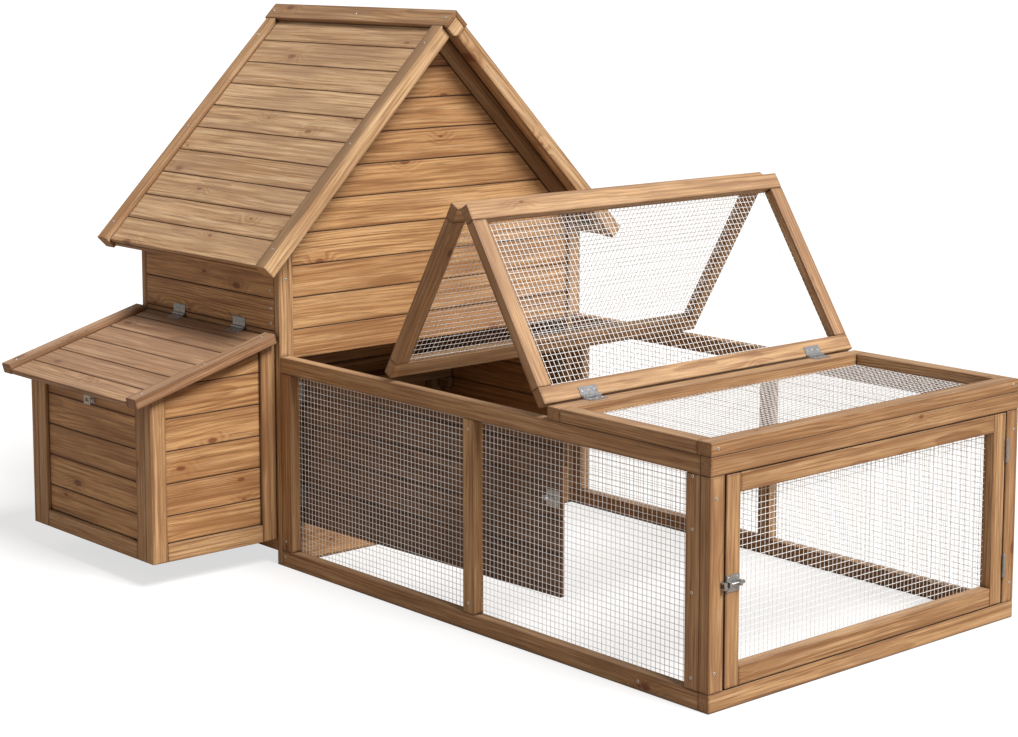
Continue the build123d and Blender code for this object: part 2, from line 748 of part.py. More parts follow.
hasp_flap_place = turned(hasp_pin, (0, -1, 0), (1, 0, 0))
house_leaf_reach = 12.0


def butt_leaf(place, hand, ends):
    """Add one leaf of a butt hinge, let into the gap between the end door and its post."""
    hinge_leaf(place, hand, ends, height=butt_height, setback=butt_setback)


with BuildPart() as fixed_hinge_leaves:
    for place in lid_hinge_places:
        hinge_leaf(place, 1, True)
    for place in end_post_places:
        butt_leaf(place, -1, True)
    for place in nest_wall_places:
        hinge_leaf(place, -1, True)
    for place in house_hinge_places:
        hinge_leaf(place, -1, True, house_leaf_reach)
fixed_hinge_leaves.part.label = "fixed_hinge_leaves"
export_step(fixed_hinge_leaves.part, "parts/fixed_hinge_leaves.step")

with BuildPart() as hinge_pins:
    for place in lid_hinge_places + end_post_places + nest_wall_places + house_hinge_places:
        hinge_pin(place)
hinge_pins.part.label = "hinge_pins"
export_step(hinge_pins.part, "parts/hinge_pins.step")

with BuildPart() as near_lid_hinge_leaves:
    for place in near_hinge_places:
        hinge_leaf(place, -1, False)
    for place in near_ridge_places:
        hinge_leaf(place, -1, True)
near_lid_hinge_leaves.part.label = "near_lid_hinge_leaves"
export_step(near_lid_hinge_leaves.part, "parts/near_lid_hinge_leaves.step")

with BuildPart() as ridge_hinge_pins:
    for place in near_ridge_places:
        hinge_pin(place)
ridge_hinge_pins.part.label = "ridge_hinge_pins"
export_step(ridge_hinge_pins.part, "parts/ridge_hinge_pins.step")

with BuildPart() as far_lid_hinge_leaves:
    for place in far_ridge_places:
        hinge_leaf(place, 1, False)
far_lid_hinge_leaves.part.label = "far_lid_hinge_leaves"
export_step(far_lid_hinge_leaves.part, "parts/far_lid_hinge_leaves.step")

with BuildPart() as end_door_hinge_leaves:
    for place in end_leaf_places:
        butt_leaf(place, 1, False)
end_door_hinge_leaves.part.label = "end_door_hinge_leaves"
export_step(end_door_hinge_leaves.part, "parts/end_door_hinge_leaves.step")

with BuildPart() as house_door_hinge_leaves:
    for place in house_leaf_places:
        hinge_leaf(place, 1, False)
house_door_hinge_leaves.part.label = "house_door_hinge_leaves"
export_step(house_door_hinge_leaves.part, "parts/house_door_hinge_leaves.step")

with BuildPart() as nest_lid_hinge_leaves:
    for place in nest_leaf_places:
        hinge_leaf(place, 1, False)
    hinge_leaf(hasp_leaf_place, -1, True, length=hasp_length)
nest_lid_hinge_leaves.part.label = "nest_lid_hinge_leaves"
export_step(nest_lid_hinge_leaves.part, "parts/nest_lid_hinge_leaves.step")

with BuildPart() as nest_hasp_pin:
    hinge_pin(hasp_flap_place, hasp_length)
nest_hasp_pin.part.label = "nest_hasp_pin"
export_step(nest_hasp_pin.part, "parts/nest_hasp_pin.step")

with BuildPart() as nest_hasp_flap:
    hinge_leaf(hasp_flap_place, 1, False, hasp_reach, hasp_length)
    # slot for the staple
    with Locations(hasp_flap_place.location * Location((-pin_height, hasp_slot_drop, 0))):
        Box(4, 8, 15, mode=Mode.SUBTRACT)
nest_hasp_flap.part.label = "nest_hasp_flap"
export_step(nest_hasp_flap.part, "parts/nest_hasp_flap.step")

with BuildPart() as nest_staple:
    staple_wire = 2.4
    staple_half = 5.5
    plate_thickness = 1.5
    staple_z = hasp_pin[2] - hasp_slot_drop
    plate_z = (staple_z - 9, staple_z + 9)
    ring_z = (staple_z - staple_wire / 2, staple_z + staple_wire / 2)
    staple_out = hasp_pin[1] + pin_height + 1.5
    block((hasp_x - 11, hasp_x + 11), (nest_board_face - plate_thickness, nest_board_face), plate_z)
    for x in (hasp_x - staple_half, hasp_x + staple_half - staple_wire):
        block((x, x + staple_wire), (staple_out, nest_board_face - 1), ring_z)
    block((hasp_x - staple_half, hasp_x + staple_half), (staple_out, staple_out + staple_wire), ring_z)
nest_staple.part.label = "nest_staple"
export_step(nest_staple.part, "parts/nest_staple.step")


# Barrel bolts: X out of the timber, Y along the throw; the rod is drawn back as it stands
bolt_radius = 3.5
bolt_axis = 5.5
bolt_fit = 0.1
guide_half = 5.5
guide_inner = 12.0
guide_outer = 18.0
bolt_plate_thickness = 1.5
bolt_plate_half = 17.0


def bolt_loop(place, y, height):
    """Add a guide that wraps the rod, standing on its plate."""
    block((0, height), y, (-guide_half, guide_half), place)
    with Locations(place.location * Location((bolt_axis, sum(y) / 2, 0), (90, 0, 0))):
        Cylinder(bolt_radius + bolt_fit, y[1] - y[0], mode=Mode.SUBTRACT)


def bolt_plate(place):
    """Add a bolt's plate and its two guides."""
    block((0, bolt_plate_thickness), (-guide_outer, guide_outer), (-bolt_plate_half, bolt_plate_half), place)
    for y in ((-guide_outer, -guide_inner), (guide_inner, guide_outer)):
        bolt_loop(place, y, 10.8)


def bolt_screws(place):
    """Add the screw heads at the corners of a bolt's plate."""
    spots = [(y, z) for y in (-12, 12) for z in (-12, 12)]
    small_heads(place, spots, bolt_plate_thickness)


def bolt_rod(place):
    """Add a bolt's rod with the knob between its guides."""
    rod = (-26.0, 17.0)
    with Locations(place.location * Location((bolt_axis, sum(rod) / 2, 0), (90, 0, 0))):
        Cylinder(bolt_radius, rod[1] - rod[0])
    with Locations(place.location * Location((bolt_axis + 5, -9.2, 0), (0, 90, 0))):
        Cylinder(2.2, 9)


end_bolt_place = turned((run_length, 63, 247), (1, 0, 0), (0, 0, -1))
house_bolt_spot = (-pin_height, 850, 310)
house_bolt_place = Plane(house_door_plane.location * Location(house_bolt_spot))
with BuildPart() as end_door_bolt_plate:
    bolt_plate(end_bolt_place)
end_door_bolt_plate.part.label = "end_door_bolt_plate"
export_step(end_door_bolt_plate.part, "parts/end_door_bolt_plate.step")

with BuildPart() as end_door_bolt_rod:
    bolt_rod(end_bolt_place)
end_door_bolt_rod.part.label = "end_door_bolt_rod"
export_step(end_door_bolt_rod.part, "parts/end_door_bolt_rod.step")

with BuildPart() as house_door_bolt_plate:
    bolt_plate(house_bolt_place)
house_door_bolt_plate.part.label = "house_door_bolt_plate"
export_step(house_door_bolt_plate.part, "parts/house_door_bolt_plate.step")

with BuildPart() as house_door_bolt_rod:
    bolt_rod(house_bolt_place)
house_door_bolt_rod.part.label = "house_door_bolt_rod"
export_step(house_door_bolt_rod.part, "parts/house_door_bolt_rod.step")

with BuildPart() as bolt_keepers:
    # each keeper is a strap of two cheeks and a cap, a little wider than the rod
    keeper_channel = 4.3
    keeper_half = 7.0
    keeper_cap = (9.8, 11.5)
    keeper_y = (-4.0, 4.0)
    for spot in ((run_length, 33, 247), (0, 921, 310)):
        centre = turned(spot, (1, 0, 0), (0, 0, 1))
        block(keeper_cap, keeper_y, (-keeper_half, keeper_half), centre)
        for z in ((-keeper_half, -keeper_channel), (keeper_channel, keeper_half)):
            block((0, keeper_cap[0] - joint_gap), keeper_y, z, centre)
bolt_keepers.part.label = "bolt_keepers"
export_step(bolt_keepers.part, "parts/bolt_keepers.step")


# Screws
with BuildPart() as coop_screws:
    # front side panel: along the stiles and the ends of the bottom rail
    stile_spots = [(1333, z) for z in (457, 354, 230, 62)] + [(675, 440), (675, 62), (15, 62)]
    heads(along(0), stile_spots + [(12, 24), (1190, 19)])
    # end posts and top frame
    heads(across(run_length), [(15, 419), (15, 78), (941, 79), (941, 419)])
    heads(across(run_length), [(19, 515), (935, 517)])
    # front gable and nest-side wall
    heads(across(0), [(20, 680), (house_width - 20, 680)])
    heads(along(0), [(-35, 575), (-35, 610), (-35, 652)])
    # verge battens and ridge cap
    for hand in (-1, 1):
        spots = [(x, hand * s) for x in (44, -639) for s in (110, 430, 750)]
        heads(roof_plane(hand), spots)
        heads(roof_plane(hand), [(x, hand * 26) for x in (54, -297, -649)])
    for place in lid_hinge_places:
        leaf_screws(place, 1)
    for place in nest_wall_places:
        leaf_screws(place, -1)
    for place in house_hinge_places:
        leaf_screws(place, -1, house_leaf_reach)
coop_screws.part.label = "coop_screws"
export_step(coop_screws.part, "parts/coop_screws.step")

with BuildPart() as near_lid_screws:
    for place in near_hinge_places + near_ridge_places:
        leaf_screws(place, -1)
near_lid_screws.part.label = "near_lid_screws"
export_step(near_lid_screws.part, "parts/near_lid_screws.step")

with BuildPart() as far_lid_screws:
    top = Plane(far_plane.location * Location((0, 0, far_h[1])))
    heads(top, [(x, y) for x in (-20, lid_reach[0] + 19) for y in (19, 936)])
    for place in far_ridge_places:
        leaf_screws(place, 1)
far_lid_screws.part.label = "far_lid_screws"
export_step(far_lid_screws.part, "parts/far_lid_screws.step")

with BuildPart() as end_door_screws:
    bolt_screws(end_bolt_place)
end_door_screws.part.label = "end_door_screws"
export_step(end_door_screws.part, "parts/end_door_screws.step")

with BuildPart() as house_door_screws:
    bolt_screws(house_bolt_place)
    for place in house_leaf_places:
        leaf_screws(place, 1)
house_door_screws.part.label = "house_door_screws"
export_step(house_door_screws.part, "parts/house_door_screws.step")

with BuildPart() as nest_lid_screws:
    for place in nest_leaf_places:
        leaf_screws(place, 1)
    leaf_screws(hasp_leaf_place, -1, count=2, length=hasp_length)
    heads(nest_lid_plane, [(x, -s) for x in (-577, -19) for s in (40, 205, 380)])
nest_lid_screws.part.label = "nest_lid_screws"
export_step(nest_lid_screws.part, "parts/nest_lid_screws.step")
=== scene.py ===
"""Chicken coop: dressed timber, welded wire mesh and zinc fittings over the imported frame."""

import json
import math
import random

import bmesh
import bpy
from bpy.props import FloatProperty, FloatVectorProperty, IntProperty, PointerProperty
from mathutils import Matrix, Vector


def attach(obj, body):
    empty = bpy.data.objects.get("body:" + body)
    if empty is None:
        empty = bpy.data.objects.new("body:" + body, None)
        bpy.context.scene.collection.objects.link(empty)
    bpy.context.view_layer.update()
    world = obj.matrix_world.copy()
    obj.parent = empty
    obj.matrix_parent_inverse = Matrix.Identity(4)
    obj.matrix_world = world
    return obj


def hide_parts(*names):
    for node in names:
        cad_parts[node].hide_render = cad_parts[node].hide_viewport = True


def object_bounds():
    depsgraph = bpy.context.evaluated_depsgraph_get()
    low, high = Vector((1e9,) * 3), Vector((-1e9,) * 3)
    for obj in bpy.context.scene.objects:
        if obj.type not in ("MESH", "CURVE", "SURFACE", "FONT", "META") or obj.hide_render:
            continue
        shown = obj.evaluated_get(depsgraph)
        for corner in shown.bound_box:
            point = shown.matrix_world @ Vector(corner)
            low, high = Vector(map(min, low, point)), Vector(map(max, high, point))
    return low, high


bl_info = {
    "name": "Chicken Coop",
    "version": (1, 0, 0),
    "blender": (4, 5, 0),
    "location": "View3D > Sidebar > Coop",
    "description": "Dresses the frame of a planked chicken coop with a mesh run",
    "category": "Object",
}

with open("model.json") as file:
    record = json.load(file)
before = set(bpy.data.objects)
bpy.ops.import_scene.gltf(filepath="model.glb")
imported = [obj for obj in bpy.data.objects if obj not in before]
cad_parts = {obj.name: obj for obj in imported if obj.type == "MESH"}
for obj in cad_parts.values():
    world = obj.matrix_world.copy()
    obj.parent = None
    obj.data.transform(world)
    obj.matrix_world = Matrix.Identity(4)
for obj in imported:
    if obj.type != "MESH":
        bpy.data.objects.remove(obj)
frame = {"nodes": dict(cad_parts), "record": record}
CAD_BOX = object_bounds()
RECORD = frame["record"]
BODY_OF = {node: body for body, nodes in RECORD["behaviour"]["bodies"].items() for node in nodes}
SLOT_OF = {part["node"]: part["material_slot"] for part in RECORD["subparts"]}
MM = 0.001


# Sizes and colours

class TimberSettings(bpy.types.PropertyGroup):
    arris: FloatProperty(
        name="Arris", description="Rounding on the edges of frames and battens",
        default=2.0 * MM, min=0.0, unit="LENGTH")
    groove: FloatProperty(
        name="Groove", description="Chamfer on the edges of boards, half of the groove between two",
        default=2.4 * MM, min=0.0, unit="LENGTH")
    # verge battens behind this keep pale tops; those in front get painted shade on their upper faces
    rear_verge_before: FloatProperty(
        name="Rear Verge Before", description="Verge battens behind this stay pale on top",
        default=-0.6, unit="LENGTH")
    seed: IntProperty(
        name="Seed", description="Start of the random choice of timber for each board", default=7)
    frame_stain: FloatVectorProperty(
        name="Frame Stain", description="Lighter colour of the frames", subtype="COLOR",
        default=(0.470, 0.272, 0.130), min=0.0, max=1.0)
    board_stain: FloatVectorProperty(
        name="Board Stain", description="Lighter colour of the wall boards", subtype="COLOR",
        default=(0.530, 0.290, 0.125), min=0.0, max=1.0)
    roof_stain: FloatVectorProperty(
        name="Roof Stain", description="Lighter colour of the roof boards", subtype="COLOR",
        default=(0.590, 0.370, 0.195), min=0.0, max=1.0)
    lid_stain: FloatVectorProperty(
        name="Nest Lid Stain", description="Lighter colour of the nest lid", subtype="COLOR",
        default=(0.420, 0.240, 0.128), min=0.0, max=1.0)
    # the house door's stain is set far darker than the other boards: painted shade for the door standing in the shade
    # inside the run
    door_stain_and_shade: FloatVectorProperty(
        name="House Door Stain and Shade", description="Lighter colour of the house door", subtype="COLOR",
        default=(0.180, 0.098, 0.054), min=0.0, max=1.0)
    inner_stain: FloatVectorProperty(
        name="Inner Timber", description="Colour of the floor, perch and inner framing", subtype="COLOR",
        default=(0.400, 0.270, 0.155), min=0.0, max=1.0)


class WireSettings(bpy.types.PropertyGroup):
    pitch: FloatProperty(
        name="Pitch", description="Distance between two wires", default=12.7 * MM, min=0.002, unit="LENGTH")
    diameter: FloatProperty(
        name="Wire Diameter", description="Thickness of one wire", default=1.15 * MM, min=0.0003, unit="LENGTH")
    wander: FloatProperty(
        name="Wander", description="How far a wire strays from its place", default=0.35 * MM, unit="LENGTH")


class FittingSettings(bpy.types.PropertyGroup):
    edge: FloatProperty(
        name="Edge", description="Rounding on the edges of hinges and bolts",
        default=0.25 * MM, min=0.0, unit="LENGTH")
    head_edge: FloatProperty(
        name="Head Edge", description="Rounding on the rim of a screw head",
        default=0.42 * MM, min=0.0, unit="LENGTH")
    zinc: FloatVectorProperty(
        name="Zinc", description="Colour of the zinc plate", subtype="COLOR",
        default=(0.46, 0.47, 0.49), min=0.0, max=1.0)
    screw: FloatVectorProperty(
        name="Screw Zinc", description="Colour of the zinc on the screw heads", subtype="COLOR",
        default=(0.80, 0.80, 0.81), min=0.0, max=1.0)
    wire: FloatVectorProperty(
        name="Wire Zinc", description="Colour of the zinc on the mesh wires", subtype="COLOR",
        default=(0.95, 0.95, 0.96), min=0.0, max=1.0)


class StageSettings(bpy.types.PropertyGroup):
    floor_size: FloatProperty(
        name="Floor Size", description="Length of one side of the floor", default=90.0, unit="LENGTH")
    floor_colour: FloatVectorProperty(
        name="Floor Colour", description="Colour of the floor", subtype="COLOR",
        default=(0.92, 0.92, 0.92), min=0.0, max=1.0)
    key_strength: FloatProperty(name="Key Strength", description="Strength of the main light", default=4.7)
    key_from: FloatVectorProperty(
        name="Key From", description="Direction the main light comes from", subtype="DIRECTION",
        default=(0.62, 0.04, 0.78))
    sky_strength: FloatProperty(
        name="Fill Strength", description="Strength of the soft light all round", default=0.30)
    floor_glow: FloatProperty(
        name="Floor Glow", description="Light the floor shows of its own, to keep it white", default=0.68)
    camera_place: FloatVectorProperty(
        name="Camera Place", description="Where the camera stands", subtype="TRANSLATION",
        default=(3.8813, -3.34815, 1.4626))
    camera_turn: FloatProperty(
        name="Camera Turn", description="Turn of the camera about the upright", subtype="ANGLE",
        default=math.radians(48.655))
    camera_dip: FloatProperty(
        name="Camera Dip", description="Tilt of the camera below the level", subtype="ANGLE",
        default=math.radians(7.72))
    camera_lens: FloatProperty(name="Lens", description="Focal length in millimetres", default=80.08)
    camera_rise: FloatProperty(name="Lens Shift", description="Upright shift of the lens", default=-0.12)


# Shader groups

def new_group(name, inputs, outputs):
    """Start a shader group: inputs are (name, socket type, default), outputs (name, socket type)."""
    group = bpy.data.node_groups.new(name, "ShaderNodeTree")
    for label, kind, default in inputs:
        socket = group.interface.new_socket(name=label, in_out="INPUT", socket_type=kind)
        if default is not None:
            socket.default_value = default
    for label, kind in outputs:
        group.interface.new_socket(name=label, in_out="OUTPUT", socket_type=kind)
    return group, group.nodes.new("NodeGroupInput"), group.nodes.new("NodeGroupOutput")


class Tree:
    """Short hand for adding and joining the nodes of a shader tree."""

    def __init__(self, tree):
        self.tree = tree

    def node(self, kind, **settings):
        made = self.tree.nodes.new(kind)
        for key, value in settings.items():
            setattr(made, key, value)
        return made

    def put(self, socket, value):
        if isinstance(value, bpy.types.NodeSocket):
            self.tree.links.new(value, socket)
        elif value is not None:
            socket.default_value = value

    def maths(self, operation, a, b=None, c=None, clamp=False):
        made = self.node("ShaderNodeMath", operation=operation, use_clamp=clamp)
        for socket, value in zip(made.inputs, (a, b, c)):
            self.put(socket, value)
        return made.outputs[0]

    def vector(self, operation, a, b=None):
        made = self.node("ShaderNodeVectorMath", operation=operation)
        self.put(made.inputs[0], a)
        self.put(made.inputs[1], b)
        return made.outputs["Value"] if operation in {"LENGTH", "DISTANCE"} else made.outputs["Vector"]

    def parts(self, vector):
        made = self.node("ShaderNodeSeparateXYZ")
        self.put(made.inputs[0], vector)
        return made.outputs

    def join(self, x, y, z):
        made = self.node("ShaderNodeCombineXYZ")
        for socket, value in zip(made.inputs, (x, y, z)):
            self.put(socket, value)
        return made.outputs[0]

    def noise(self, vector, scale, detail=2.0, rough=0.5, distort=0.0):
        made = self.node("ShaderNodeTexNoise")
        self.put(made.inputs["Vector"], vector)
        self.put(made.inputs["Scale"], scale)
        self.put(made.inputs["Detail"], detail)
        self.put(made.inputs["Roughness"], rough)
        self.put(made.inputs["Distortion"], distort)
        return made.outputs["Fac"]

    def step(self, value, low, high, to_low=0.0, to_high=1.0):
        made = self.node("ShaderNodeMapRange", interpolation_type="SMOOTHSTEP")
        for socket, item in zip(made.inputs, (value, low, high, to_low, to_high)):
            self.put(socket, item)
        return made.outputs["Result"]

    def mix(self, factor, a, b, blend="MIX"):
        made = self.node("ShaderNodeMix", data_type="RGBA", blend_type=blend)
        self.put(made.inputs["Factor"], factor)
        self.put(made.inputs["A"], a)
        self.put(made.inputs["B"], b)
        return made.outputs["Result"]

    def attribute(self, name):
        return self.node("ShaderNodeAttribute", attribute_name=name)

    def bump(self, height, strength, distance):
        made = self.node("ShaderNodeBump")
        self.put(made.inputs["Height"], height)
        self.put(made.inputs["Strength"], strength)
        self.put(made.inputs["Distance"], distance)
        return made.outputs["Normal"]


def make_figure_group():
    """Growth rings, fibres and knots of a sawn board, from its own length, width and depth."""
    group, enter, leave = new_group(
        "Timber Figure",
        [("Grain", "NodeSocketVector", None), ("Tone", "NodeSocketVector", None),
         ("Ring Width", "NodeSocketFloat", 0.0052), ("Knots", "NodeSocketFloat", 0.5)],
        [("Rings", "NodeSocketFloat"), ("Fibre", "NodeSocketFloat"), ("Knot", "NodeSocketFloat"),
         ("Halo", "NodeSocketFloat"), ("Stain", "NodeSocketFloat"),
         ("Streak", "NodeSocketFloat")])
    t = Tree(group)
    grain, tone = enter.outputs["Grain"], enter.outputs["Tone"]
    along, across, deep = t.parts(grain)[0:3]
    tone_x, tone_y, tone_z = t.parts(tone)[0:3]
    far_off = t.maths("MULTIPLY", tone_z, 40.0)
    # knots, sparse and longer along the grain
    knot_at = t.join(t.maths("MULTIPLY_ADD", along, 6.0, far_off), t.maths("MULTIPLY_ADD", across, 13.0, far_off), 0.0)
    cells = t.node("ShaderNodeTexVoronoi", feature="F1", voronoi_dimensions="2D")
    t.put(cells.inputs["Vector"], knot_at)
    t.put(cells.inputs["Scale"], 1.0)
    pick_x, pick_y, pick_z = t.parts(cells.outputs["Color"])[0:3]
    chosen = t.maths("LESS_THAN", pick_x, enter.outputs["Knots"])
    near = t.maths("ADD", cells.outputs["Distance"], t.maths("MULTIPLY", t.noise(grain, 90.0), 0.03))
    size = t.maths("MULTIPLY_ADD", pick_y, 0.060, 0.025)
    knot = t.maths("MULTIPLY", t.step(t.maths("SUBTRACT", near, size), 0.050, 0.0), chosen)
    halo = t.maths("MULTIPLY", t.step(t.maths("SUBTRACT", near, size), 0.32, 0.0), chosen)
    # rings about a pith that lies off the board, drifting slowly along it
    drift = t.noise(t.join(t.maths("MULTIPLY_ADD", along, 1.6, far_off), t.maths("MULTIPLY", across, 7.0), far_off), 1.0, 2.0)
    pith_y = t.maths("MULTIPLY_ADD", tone_x, 0.11, -0.055)
    pith_z = t.maths("MULTIPLY_ADD", tone_y, -0.05, -0.022)
    off_y = t.maths("SUBTRACT", across, pith_y)
    off_z = t.maths("SUBTRACT", deep, pith_z)
    reach = t.vector("LENGTH", t.join(off_y, off_z, 0.0))
    reach = t.maths("ADD", reach, t.maths("MULTIPLY", drift, 0.034))
    reach = t.maths("ADD", reach, t.maths("MULTIPLY", halo, 0.010))
    turn = t.maths("FRACT", t.maths("DIVIDE", reach, enter.outputs["Ring Width"]))
    late = t.maths("MULTIPLY", t.step(turn, 0.25, 0.88), t.step(turn, 1.0, 0.93))
    # fibres drawn out along the grain
    thread = t.join(t.maths("MULTIPLY_ADD", along, 9.0, far_off), t.maths("MULTIPLY", across, 420.0), t.maths("MULTIPLY", deep, 420.0))
    fibre = t.noise(thread, 1.0, 3.0, 0.65)
    streak_at = t.join(t.maths("MULTIPLY_ADD", along, 2.6, far_off), t.maths("MULTIPLY", across, 130.0), t.maths("MULTIPLY", deep, 130.0))
    streak = t.noise(streak_at, 1.0, 4.0, 0.62)
    stain = t.noise(t.vector("MULTIPLY", t.vector("ADD", grain, t.join(far_off, far_off, far_off)), (3.5, 16.0, 16.0)), 1.0, 3.0, 0.55)
    for name, value in (("Rings", late), ("Fibre", fibre), ("Knot", knot), ("Halo", halo), ("Stain", stain),
                        ("Streak", streak)):
        t.put(leave.inputs[name], value)
    return group


def make_edge_group():
    """Mask that is 1 at a board's edges and fades inwards."""
    group, enter, leave = new_group(
        "Board Edge",
        [("Rim", "NodeSocketVector", None), ("Half", "NodeSocketVector", None), ("Width", "NodeSocketFloat", 0.006)],
        [("Mask", "NodeSocketFloat")])
    t = Tree(group)
    inset = t.vector("SUBTRACT", (1.0, 1.0, 1.0), t.vector("ABSOLUTE", enter.outputs["Rim"]))
    a, b, c = t.parts(t.vector("MULTIPLY", inset, enter.outputs["Half"]))[0:3]
    low = t.maths("MINIMUM", a, b)
    high = t.maths("MINIMUM", t.maths("MAXIMUM", a, b), c)
    edge = t.maths("MAXIMUM", low, high)
    t.put(leave.inputs["Mask"], t.step(edge, enter.outputs["Width"], 0.0))
    return group


def make_zinc_group():
    """Spangle, rub marks and grime of zinc plate."""
    group, enter, leave = new_group(
        "Zinc Plate",
        [("Place", "NodeSocketVector", None), ("Spangle Size", "NodeSocketFloat", 240.0)],
        [("Spangle", "NodeSocketFloat"), ("Rub", "NodeSocketFloat"), ("Grime", "NodeSocketFloat")])
    t = Tree(group)
    place = enter.outputs["Place"]
    cells = t.node("ShaderNodeTexVoronoi", feature="F1")
    t.put(cells.inputs["Vector"], place)
    t.put(cells.inputs["Scale"], enter.outputs["Spangle Size"])
    t.put(leave.inputs["Spangle"], t.parts(cells.outputs["Color"])[0])
    t.put(leave.inputs["Rub"], t.noise(t.vector("MULTIPLY", place, (900.0, 60.0, 900.0)), 1.0, 3.0, 0.6))
    t.put(leave.inputs["Grime"], t.noise(place, 95.0, 4.0, 0.6))
    return group


GROUPS = {}


def group_node(t, name):
    """Place a shared shader group, made on first use."""
    if name not in GROUPS:
        GROUPS[name] = {"Timber Figure": make_figure_group, "Board Edge": make_edge_group,
                        "Zinc Plate": make_zinc_group}[name]()
    return t.node("ShaderNodeGroup", node_tree=GROUPS[name])


def shade(colour, factor):
    """Return a colour scaled by a factor, with an alpha of 1."""
    return (*[min(1.0, part * factor) for part in colour], 1.0)


def new_material(name):
    """Return a new material, its tree helper and its Principled shader."""
    made = bpy.data.materials.new(name)
    made.use_nodes = True
    return made, Tree(made.node_tree), made.node_tree.nodes["Principled BSDF"]


def stained_timber(name, light, knots, seam, sky_tint, bleach_and_top_shade):
    """Stained softwood: light is the pale wood, seam how dark the thin painted shade line at the edges is, sky_tint
    the colour laid on upper faces (sun bleach on most timber, painted shade on the front verge battens).
    """
    made, t, shader = new_material(name)
    figure = group_node(t, "Timber Figure")
    tone = t.attribute("tone").outputs["Vector"]
    t.put(figure.inputs["Grain"], t.attribute("grain").outputs["Vector"])
    t.put(figure.inputs["Tone"], tone)
    t.put(figure.inputs["Knots"], knots)
    rings, fibre, knot, halo, stain, streak = [
        figure.outputs[part] for part in ("Rings", "Fibre", "Knot", "Halo", "Stain", "Streak")]
    edges = []
    for width in (0.0075, 0.0020):
        edge = group_node(t, "Board Edge")
        t.put(edge.inputs["Rim"], t.attribute("rim").outputs["Vector"])
        t.put(edge.inputs["Half"], t.attribute("half").outputs["Vector"])
        t.put(edge.inputs["Width"], width)
        edges.append(edge.outputs["Mask"])
    red, green, blue = light
    tone_x, tone_y, tone_z = t.parts(tone)[0:3]
    early = t.mix(tone_x, shade((red, green * 1.04, blue * 1.04), 1.16), shade((red, green * 0.92, blue * 0.86), 0.80))
    late = t.mix(tone_y, shade((red, green * 0.88, blue * 0.76), 0.62), shade((red, green * 0.78, blue * 0.62), 0.50))
    colour = t.mix(t.maths("MULTIPLY", rings, t.maths("MULTIPLY_ADD", tone_z, 0.40, 0.40)), early, late)
    # pale and dark streaks, fibres and uneven stain
    colour = t.mix(t.step(streak, 0.50, 0.36, 0.0, 0.58), colour, shade((red * 1.12, green * 1.30, blue * 1.55), 1.12))
    colour = t.mix(t.step(streak, 0.50, 0.68, 0.0, 0.78), colour, shade((red, green * 0.76, blue * 0.60), 0.40))
    colour = t.mix(t.step(fibre, 0.48, 0.72, 0.0, 0.74), colour, shade((red, green * 0.74, blue * 0.58), 0.30))
    colour = t.mix(t.step(stain, 0.40, 0.70, 0.0, 0.56), colour, shade((red, green * 0.80, blue * 0.66), 0.50))
    colour = t.mix(t.maths("MULTIPLY", halo, 0.40), colour, shade((red, green * 0.74, blue * 0.52), 0.52))
    colour = t.mix(t.maths("MULTIPLY", knot, 0.80), colour, shade((red, green * 0.52, blue * 0.34), 0.28))
    colour = t.mix(t.maths("MULTIPLY", t.attribute("end_grain").outputs["Fac"], 0.50), colour,
                   shade((red, green * 0.82, blue * 0.68), 0.52))
    # upper faces bleach (the front verge battens get painted shade on their upper faces instead), edges darken within
    # 7.5 mm, a thin line of painted shade marks every edge, and the arrises of the frames rub pale
    up = t.maths("MULTIPLY", t.attribute("sky").outputs["Fac"], bleach_and_top_shade)
    # for the front verge battens this mix lays painted shade on their upper faces
    colour = t.mix(t.maths("MULTIPLY", up, t.step(stain, 0.30, 0.66, 0.55, 1.0)), colour, (*sky_tint, 1.0))
    # the 7.5 mm band along every edge is darkened, more where the stain noise is high
    colour = t.mix(t.maths("MULTIPLY", edges[0], t.step(stain, 0.30, 0.60, 0.18, 0.58)), colour,
                   shade((red, green * 0.70, blue * 0.52), 0.30))
    # a thin near-black line at every edge: painted shade standing in for the shadow in the joints between boards and
    # frames, strong on boards and light on frames
    colour = t.mix(t.maths("MULTIPLY", edges[1], seam), colour, shade((red, green * 0.60, blue * 0.42), 0.07))
    rub = t.maths("MULTIPLY", t.step(fibre, 0.46, 0.58, 0.0, 0.60), 1.0 - seam)
    colour = t.mix(t.maths("MULTIPLY", edges[1], rub), colour, shade((red * 1.05, green * 1.15, blue * 1.25), 1.16))
    # painted shade where two timbers meet: ambient occlusion darkens the creases to near black
    corner = t.node("ShaderNodeAmbientOcclusion", samples=6)
    t.put(corner.inputs["Distance"], 0.014)
    colour = t.mix(t.step(corner.outputs["AO"], 0.80, 0.30, 0.0, 0.88), colour, (0.020, 0.012, 0.007, 1.0))
    t.put(shader.inputs["Base Color"], colour)
    rough = t.maths("MULTIPLY_ADD", fibre, 0.34, 0.40)
    t.put(shader.inputs["Roughness"], t.maths("SUBTRACT", rough, t.maths("MULTIPLY", rings, 0.06)))
    height = t.maths("SUBTRACT", t.maths("MULTIPLY", rings, 0.35), t.maths("MULTIPLY", fibre, 1.2))
    height = t.maths("SUBTRACT", height, t.maths("MULTIPLY", streak, 0.9))
    height = t.maths("ADD", height, t.maths("MULTIPLY", knot, 0.5))
    t.put(shader.inputs["Normal"], t.bump(height, 0.55, 0.0009))
    return made


